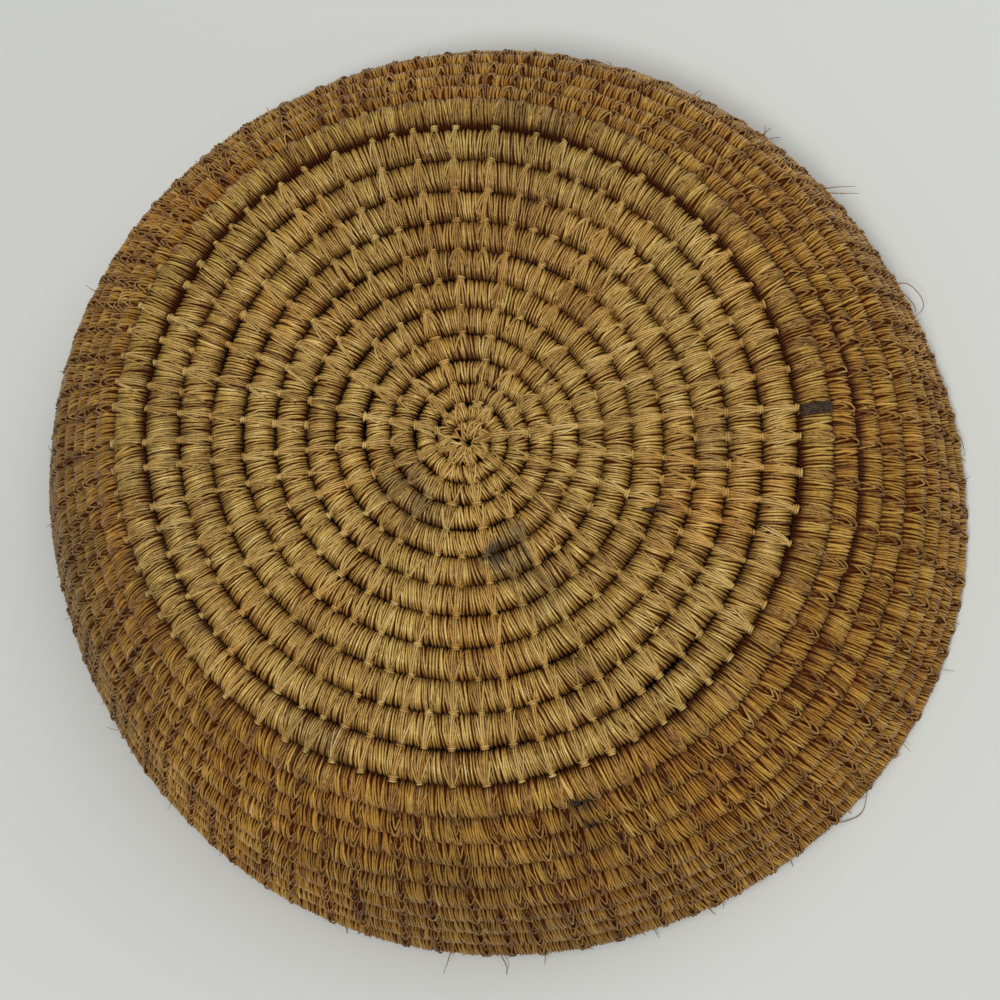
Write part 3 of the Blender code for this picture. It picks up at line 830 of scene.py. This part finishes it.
# %% Burrs and loose fibres
BURRS = 170
LONG_FIBRES = (
    ((164.2, 41.4, 9.0), (169.6, 40.0, 9.5), (174.6, 38.8, 8.0)),
    ((163.8, 41.0, 8.0), (169.4, 39.3, 7.0), (174.4, 38.0, 6.0)),
    ((163.8, 25.6, 7.0), (169.4, 25.2, 9.0), (171.6, 22.6, 9.0), (171.4, 21.2, 6.0),
     (166.5, 20.8, 5.0)),
    ((164.2, 25.2, 5.0), (167.2, 24.0, 6.0), (168.8, 22.2, 4.0), (168.4, 21.4, 3.0)),
    ((168.6, -46.6, 4.0), (174.6, -45.2, 2.0), (178.5, -42.6, 1.0), (174.5, -40.4, 1.0)),
    ((166.2, 6.2, 7.0), (171.0, 4.4, 7.0), (171.9, 2.2, 5.0)),
    ((164.8, 11.8, 8.0), (168.9, 10.6, 8.0), (168.6, 8.8, 7.0)),
    ((169.0, -89.2, 4.0), (174.0, -88.4, 3.0), (177.0, -88.6, 1.2)),
    ((164.0, 51.8, 12.0), (167.0, 51.6, 12.5), (169.4, 51.4, 12.0)),
    ((163.8, 51.2, 11.0), (166.6, 51.7, 12.0), (168.6, 52.2, 12.5)),
)


def smooth_path(corners, steps):
    """Points along a curve through a few corners given as radius, azimuth and height: each of
    the three is eased from corner to corner, so the curve has no kinks."""
    corners = np.array(corners)
    at = np.linspace(0.0, 1.0, len(corners))
    u = np.linspace(0.0, 1.0, steps)
    blurred = [np.interp(u, at, part) for part in corners.T]
    for _ in range(3):
        blurred = [np.concatenate([p[:1], (p[:-2] + 2 * p[1:-1] + p[2:]) / 4, p[-1:]])
                   for p in blurred]
    radius, azimuth, height = blurred
    azimuth = np.radians(azimuth)
    return np.stack([radius * np.cos(azimuth), radius * np.sin(azimuth), height], -1) * MM


def burr_paths(count, steps):
    """Short bent hairs: a foot on the wall, mostly near the rim, then out along the surface's
    normal with a sideways bend that grows with the square of the way."""
    turn = np.where(chance.random(count) < 0.7, chance.uniform(19.6, 21.0, count),
                    chance.uniform(12.5, 19.6, count))
    angle = np.radians(chance.uniform(15.0, 100.0, count))
    foot = on_coil(length_at(turn), angle, -0.3 * MM)
    outward = on_coil(length_at(turn), angle, 0.7 * MM) - foot
    outward /= np.linalg.norm(outward, axis=-1, keepdims=True)
    reach = chance.uniform(1.0, 2.6, count) + 2.2 * (chance.random(count) < 0.10)
    bend = np.clip(chance.normal(size=(count, 3)), -1.4, 1.4) * 0.55
    u = np.linspace(0.0, 1.0, steps)[None, :, None]
    way = outward[:, None, :] * u + bend[:, None, :] * u ** 2
    paths = foot[:, None, :] + way * (reach * MM)[:, None, None]
    paths[..., 2] = np.maximum(paths[..., 2], 0.4 * MM)
    return paths


def loose_ends(name, paths, thick, tone):
    """Thin tubes along the paths, thinner towards their tips."""
    count, steps = paths.shape[:2]
    thin = thick[:, None] * (1.0 - 0.6 * np.linspace(0.0, 1.0, steps)[None, :])
    points = free_tubes(paths, thin, thin)
    straw = straw_values(tone[:, None, None], 0.15, 0.6, points.shape[:3])
    return strand_piece(name, points, straw, fibre_values(count, steps), False)


long_paths = np.stack([smooth_path(corners, 15) for corners in LONG_FIBRES])
loose = [
    loose_ends("rim_burrs", burr_paths(BURRS, 5), chance.uniform(0.12, 0.26, BURRS) * MM,
               chance.uniform(0.25, 0.7, BURRS)),
    loose_ends("loose_fibres", long_paths, np.full(len(long_paths), 0.24 * MM),
               chance.uniform(0.30, 0.55, len(long_paths))),
]


# %% [markdown]
# ## Dark mends
#
# One stitch on the edge turn is a dark flat blade, and two others ended in dark thread. They
# are strands like the rest, in a nearly black grass.

# %% Dark strands
def dark_strands(name, rows):
    """Strands over the coil from rows of (turn, start and end shift along the coil in mm, start
    and end angle in degrees, half width in mm)."""
    turn, begin, finish, first, last, half = (row[:, None] for row in np.array(rows).T)
    u = np.linspace(0.0, 1.0, PATH_STEPS)[None, :]
    length = length_at(turn) + (begin + (finish - begin) * u) * MM
    angle = np.radians(first + (last - first) * u)
    ends = smooth_step((np.abs(u - 0.5) - 0.36) / 0.14)
    lift = (0.95 - 1.10 * ends) * MM + 0.05 * MM * chance.normal(size=length.shape)
    points = strand_tubes(length, angle, lift, half * MM + 0.0 * u)
    straw = straw_values(0.30, (0.3 * ends)[..., None], 0.0, points.shape[:3])
    return strand_piece(name, points, straw, fibre_values(len(turn), PATH_STEPS), False)


BLADE_ROWS = [(12.499, 1.75 - 0.80 * n, -0.30 - 0.58 * n, 163.0, 38.0, 0.50) for n in range(5)]
THREAD_ROWS = [
    (12.712, -2.4, -0.2, 70.0, 8.0, 0.40), (12.712, 2.2, 0.2, 75.0, 6.0, 0.40),
    (12.712, -1.3, 0.3, 50.0, 12.0, 0.36), (12.712, 0.9, -0.4, 88.0, 20.0, 0.34),
    (12.712, 0.4, 1.4, 100.0, 40.0, 0.30), (13.712, -1.3, 0.0, 90.0, 20.0, 0.34),
    (13.712, 1.3, 0.1, 95.0, 18.0, 0.34), (7.571, 0.6, -0.6, 80.0, 24.0, 0.42),
    (7.571, -0.2, -0.9, 60.0, 22.0, 0.40),
]
dark = [dark_strands("dark_strands", BLADE_ROWS + THREAD_ROWS)]


# %% [markdown]
# ## The colour of the grass
#
# Dry sweetgrass is pale straw where it is fresh and golden tan where it has aged; deep in the
# grooves it gets painted shade, a nearly black-brown. One set of nodes serves all strands. It
# takes the strand's own tone, its painted shade and how far down the wall it is from the
# "straw" attribute, fine lengthwise streaks from the "fibre" map, and broad patches from
# places on the object: rust, stains, and broad painted shade.

# %% Grass materials
STAINS_AND_PAINTED_SHADE = (
    ((0.0116, -0.0388, 0.0900), 0.0055, 0.95),
    ((0.0161, -0.0340, 0.0915), 0.0085, 0.72),
    ((0.0180, -0.0431, 0.0915), 0.0080, 0.50),
    ((0.0263, -0.0516, 0.0915), 0.0110, 0.32),
    ((-0.0199, -0.0136, 0.0915), 0.0095, 0.48),
    ((-0.0139, -0.0226, 0.0915), 0.0095, 0.55),
    ((-0.0470, -0.0977, 0.0890), 0.0130, 0.30),
    ((0.0170, 0.1095, 0.0885), 0.0090, 0.40),
    ((0.0300, 0.1070, 0.0885), 0.0080, 0.35),
    ((0.0822, -0.0051, 0.0910), 0.0110, 0.34),
    ((0.0380, -0.1182, 0.0800), 0.0060, 0.55),
    ((0.0648, -0.0250, 0.0905), 0.0035, 0.55),
    # last three: painted shade, broad darkening of the wall's -x and -y sides and the base's +y
    # side
    ((-0.1600, -0.0250, 0.0250), 0.1100, 0.46),
    ((0.0050, -0.1650, 0.0250), 0.0950, 0.28),
    ((0.0100, 0.0800, 0.0890), 0.0600, 0.16),
)
STAIN_AND_SHADE_COLOUR = (0.078, 0.062, 0.034)
RUST_PATCHES = (
    ((0.0027, 0.0665, 0.0905), 0.0360, 0.60),
    ((0.0358, 0.0447, 0.0905), 0.0260, 0.50),
    ((0.0780, -0.0160, 0.0905), 0.0280, 0.55),
    ((0.0060, -0.0620, 0.0905), 0.0240, 0.45),
    ((-0.0420, 0.0480, 0.0905), 0.0200, 0.35),
)
RUST_TINT = (0.98, 0.76, 0.50)
# painted shade: the colour mixed in where a place lies deep between turns and strands
PAINTED_SHADE_COLOUR = (0.052, 0.010, 0.002)
STRAW_COLOURS = (
    (0.00, (0.055, 0.022, 0.006)),
    (0.28, (0.215, 0.104, 0.022)),
    (0.55, (0.440, 0.264, 0.054)),
    (0.80, (0.655, 0.466, 0.130)),
    (1.00, (0.820, 0.660, 0.320)),
)
ORANGE_TINT = (1.08, 0.88, 0.62)
OLIVE_TINT = (0.91, 0.95, 0.88)
WALL_TINT = (1.0, 0.845, 0.67)
STITCH_TINT = (1.0, 0.98, 1.18)
BASE_GLINT = (1.0, 0.82, 0.50)
WALL_GLINT = (1.0, 0.86, 0.66)


class Nodes:
    """Short names for the few kinds of shader node used here."""

    def __init__(self, tree):
        self.tree = tree
        tree.nodes.clear()

    def add(self, kind, **settings):
        node = self.tree.nodes.new(kind)
        for key, value in settings.items():
            setattr(node, key, value)
        return node

    def feed(self, socket, value):
        """A number or colour is set on the socket itself, anything else is linked to it."""
        if isinstance(value, tuple):
            socket.default_value = (*value, 1.0)
        elif isinstance(value, (int, float)):
            socket.default_value = value
        else:
            self.tree.links.new(value, socket)

    def maths(self, operation, first, second, clamp=False):
        node = self.add("ShaderNodeMath", operation=operation, use_clamp=clamp)
        self.feed(node.inputs[0], first)
        self.feed(node.inputs[1], second)
        return node.outputs[0]

    def noise(self, vector, scale, detail=3.0, roughness=0.55):
        node = self.add("ShaderNodeTexNoise")
        for name, value in (("Vector", vector), ("Scale", scale), ("Detail", detail),
                            ("Roughness", roughness)):
            self.feed(node.inputs[name], value)
        return node.outputs["Fac"]

    def spread(self, value, low, high, to_low, to_high):
        node = self.add("ShaderNodeMapRange")
        for name, part in (("Value", value), ("From Min", low), ("From Max", high),
                           ("To Min", to_low), ("To Max", to_high)):
            self.feed(node.inputs[name], part)
        return node.outputs["Result"]

    def ramp(self, value, stops):
        node = self.add("ShaderNodeValToRGB")
        elements = node.color_ramp.elements
        while len(elements) < len(stops):
            elements.new(0.5)
        for element, (position, colour) in zip(elements, stops):
            element.position = position
            element.color = (*colour, 1.0)
        self.feed(node.inputs["Fac"], value)
        return node.outputs["Color"]

    def patch(self, place, ragged, centre, reach, depth):
        """Share of a patch with a ragged edge: depth near its centre, none beyond its reach."""
        away = self.add("ShaderNodeVectorMath", operation="DISTANCE")
        self.feed(away.inputs[0], place)
        away.inputs[1].default_value = centre
        edge = self.spread(ragged, 0.3, 0.7, -0.4 * reach, 0.4 * reach)
        edge = self.maths("ADD", away.outputs["Value"], edge)
        return self.spread(edge, 0.35 * reach, reach, depth, 0.0)

    def mix(self, share, first, second, blend="MIX"):
        node = self.add("ShaderNodeMix", data_type="RGBA", blend_type=blend)
        self.feed(node.inputs["Factor"], share)
        self.feed(node.inputs[6], first)
        self.feed(node.inputs[7], second)
        return node.outputs[2]


def straw_colour(nodes, paler, tint):
    """Colour of the grass: strand tone + broad patches + fine streaks, along a ramp from dark
    brown to pale straw, then redder down the wall, rust-tinted and stained, with broad painted
    shade, and mixed to painted shade where it lies deep."""
    attribute = nodes.add("ShaderNodeAttribute", attribute_name="straw")
    parts = nodes.add("ShaderNodeSeparateColor")
    nodes.feed(parts.inputs["Color"], attribute.outputs["Color"])
    tone, shade, wall = parts.outputs
    place = nodes.add("ShaderNodeTexCoord").outputs["Object"]
    stretch = nodes.add("ShaderNodeMapping")
    stretch.inputs["Scale"].default_value = (7.0, 0.35, 1.0)
    nodes.feed(stretch.inputs["Vector"], nodes.add("ShaderNodeUVMap", uv_map="fibre").outputs[0])
    streak = nodes.noise(stretch.outputs[0], 1.0, 3.0, 0.6)
    for vector, scale, low, high, to_low, to_high in (
        (stretch.outputs[0], 1.0, 0.25, 0.75, -0.15, 0.15),
        (place, 42.0, 0.30, 0.70, -0.05, 0.05),
        (place, 230.0, 0.30, 0.70, -0.07, 0.07),
        (place, 900.0, 0.35, 0.75, 0.07, -0.10),
    ):
        part = nodes.spread(nodes.noise(vector, scale), low, high, to_low, to_high)
        tone = nodes.maths("ADD", tone, part)
    tone = nodes.maths("ADD", tone, paler)
    colour = nodes.ramp(tone, STRAW_COLOURS)
    colour = nodes.mix(1.0, colour, tint, "MULTIPLY")
    white = (1.0, 1.0, 1.0)
    warmth = nodes.noise(place, 38.0, 2.0, 0.5)
    for low, high, share, tint in ((0.54, 0.70, 0.5, ORANGE_TINT), (0.50, 0.34, 0.6, OLIVE_TINT)):
        warm = nodes.mix(nodes.spread(warmth, low, high, 0.0, share), white, tint)
        colour = nodes.mix(1.0, colour, warm, "MULTIPLY")
    colour = nodes.mix(1.0, colour, nodes.mix(wall, white, WALL_TINT), "MULTIPLY")
    ragged = nodes.noise(place, 260.0, 3.0)
    for patch in RUST_PATCHES:
        rust = nodes.mix(nodes.patch(place, ragged, *patch), white, RUST_TINT)
        colour = nodes.mix(1.0, colour, rust, "MULTIPLY")
    # stains, and broad painted shade on the wall and base
    for patch in STAINS_AND_PAINTED_SHADE:
        colour = nodes.mix(nodes.patch(place, ragged, *patch), colour, STAIN_AND_SHADE_COLOUR)
    # painted shade: mix towards the painted shade colour by the shade value
    deep = nodes.maths("MULTIPLY", shade, 0.92, True)
    return nodes.mix(deep, colour, PAINTED_SHADE_COLOUR), streak, place, shade


def grass_material(name, paler, roughness, shine, tint=(1.0, 1.0, 1.0), glint=BASE_GLINT):
    """Principled straw: colour as above, fine lengthwise bump, and a warm shine that changes
    from strand to strand and is lost where the strands lie deep."""
    material = bpy.data.materials.new(name)
    material.use_nodes = True
    nodes = Nodes(material.node_tree)
    colour, streak, place, shade = straw_colour(nodes, paler, tint)
    shader = nodes.add("ShaderNodeBsdfPrincipled")
    nodes.feed(shader.inputs["Base Color"], colour)
    rough = nodes.spread(nodes.noise(place, 420.0), 0.3, 0.7, roughness - 0.08, roughness + 0.12)
    dulled = nodes.spread(shade, 0.1, 0.6, 0.0, 0.40)
    nodes.feed(shader.inputs["Roughness"], nodes.maths("ADD", rough, dulled, True))
    shader.inputs["Specular IOR Level"].default_value = shine
    shader.inputs["Specular Tint"].default_value = (*glint, 1.0)
    bump = nodes.add("ShaderNodeBump")
    bump.inputs["Strength"].default_value = 0.6
    bump.inputs["Distance"].default_value = 0.25 * MM
    nodes.feed(bump.inputs["Height"], streak)
    nodes.feed(shader.inputs["Normal"], bump.outputs["Normal"])
    output = nodes.add("ShaderNodeOutputMaterial")
    nodes.feed(output.inputs["Surface"], shader.outputs["BSDF"])
    return material


def dark_material(name):
    """Nearly black grass with faint brown streaks."""
    material = bpy.data.materials.new(name)
    material.use_nodes = True
    nodes = Nodes(material.node_tree)
    place = nodes.add("ShaderNodeTexCoord").outputs["Object"]
    shader = nodes.add("ShaderNodeBsdfPrincipled")
    streak = nodes.noise(place, 700.0)
    nodes.feed(shader.inputs["Base Color"], nodes.ramp(
        streak, ((0.35, (0.022, 0.013, 0.009)), (0.70, (0.085, 0.050, 0.032)))))
    shader.inputs["Roughness"].default_value = 0.5
    shader.inputs["Specular IOR Level"].default_value = 0.15
    output = nodes.add("ShaderNodeOutputMaterial")
    nodes.feed(output.inputs["Surface"], shader.outputs["BSDF"])
    return material


for pieces, material in (
    (wraps[:3], grass_material("base_wrap_grass", 0.0, 0.25, 1.0)),
    (wraps[3:], grass_material("wall_wrap_grass", -0.01, 0.34, 0.28, glint=WALL_GLINT)),
    # the bundle's grass is made darker still: painted shade
    (bundles, grass_material("bundle_grass", -0.30, 0.60, 0.10)),
    (stitches, grass_material("stitch_grass", 0.0, 0.32, 0.45, STITCH_TINT, WALL_GLINT)),
    (loose, grass_material("loose_grass", 0.0, 0.55, 0.20)),
    (dark, dark_material("dark_grass")),
):
    for piece in pieces:
        piece.data.materials.append(material)
print(f"{len(bpy.data.materials)} materials")


# %% [markdown]
# ## Camera, light and table
#
# The photo looks down on the basket's base with a slight tilt. The camera's place comes from the
# rim's ellipse and the spacing of the base's grooves. A table just under the rim takes the soft
# shadow.

# %% Camera
FOCAL_PIXELS = 1800.0
PICTURE_PIXELS = 1000.0
CAMERA_DISTANCE = 0.6740
TILT = math.radians(12.315)
TILT_TOWARDS = math.radians(123.77)
AXIS_PIXEL = (494.89, 487.43)

up = np.array([math.sin(TILT) * math.cos(TILT_TOWARDS),
               math.sin(TILT) * math.sin(TILT_TOWARDS), math.cos(TILT)])
right = np.array([1.0, 0.0, 0.0]) - up[0] * up
right /= np.linalg.norm(right)
turned = np.column_stack([right, np.cross(up, right), up])
seen_at = np.array([AXIS_PIXEL[0] - PICTURE_PIXELS / 2.0, PICTURE_PIXELS / 2.0 - AXIS_PIXEL[1],
                    -FOCAL_PIXELS]) / FOCAL_PIXELS * CAMERA_DISTANCE
camera_place = Matrix(turned.T.tolist()).to_4x4()
camera_place.translation = -turned.T @ seen_at
lens = bpy.data.cameras.new("camera")
lens.sensor_width = 36.0
lens.lens = FOCAL_PIXELS / PICTURE_PIXELS * lens.sensor_width
camera = bpy.data.objects.new("camera", lens)
camera.matrix_world = camera_place
bpy.context.scene.collection.objects.link(camera)
bpy.context.scene.camera = camera
bpy.context.scene.view_settings.view_transform = "Standard"
print("camera at", [round(part, 3) for part in camera_place.translation])


# %% [markdown]
# The room's light in the photo is soft and comes mostly from above the top edge of the picture,
# with one smaller lamp behind the viewer that makes the sheen on the lower side of each turn.

# %% Light and table
world = bpy.data.worlds.new("sky")
world.use_nodes = True
sky = world.node_tree.nodes["Background"]
sky.inputs["Color"].default_value = (1.0, 0.99, 0.96, 1.0)
sky.inputs["Strength"].default_value = 0.37
bpy.context.scene.world = world


def soft_lamp(name, place, size, power, colour):
    """A square area lamp turned to the middle of the basket."""
    lamp = bpy.data.lights.new(name, "AREA")
    lamp.size = size
    lamp.energy = power
    lamp.color = colour
    item = bpy.data.objects.new(name, lamp)
    item.location = place
    item.rotation_euler = (-Vector(place)).to_track_quat("-Z", "Y").to_euler()
    bpy.context.scene.collection.objects.link(item)


soft_lamp("sheen_lamp", (-0.13, -0.50, 1.25), 0.24, 7.8, (1.0, 0.98, 0.95))
soft_lamp("room_lamp", (0.48, 0.58, 1.08), 1.00, 7.0, (1.0, 1.0, 0.98))

table_mesh = bpy.data.meshes.new("table")
table_mesh.from_pydata(
    [(-2.0, -2.0, -0.0003), (2.0, -2.0, -0.0003), (2.0, 2.0, -0.0003), (-2.0, 2.0, -0.0003)],
    [], [(0, 1, 2, 3)],
)
table = bpy.data.objects.new("table", table_mesh)
bpy.context.scene.collection.objects.link(table)
table_paint = bpy.data.materials.new("table_paint")
table_paint.use_nodes = True
paint = table_paint.node_tree.nodes["Principled BSDF"]
paint.inputs["Base Color"].default_value = (0.617, 0.633, 0.622, 1.0)
paint.inputs["Roughness"].default_value = 0.7
table.data.materials.append(table_paint)
print("two lamps, sky and table")
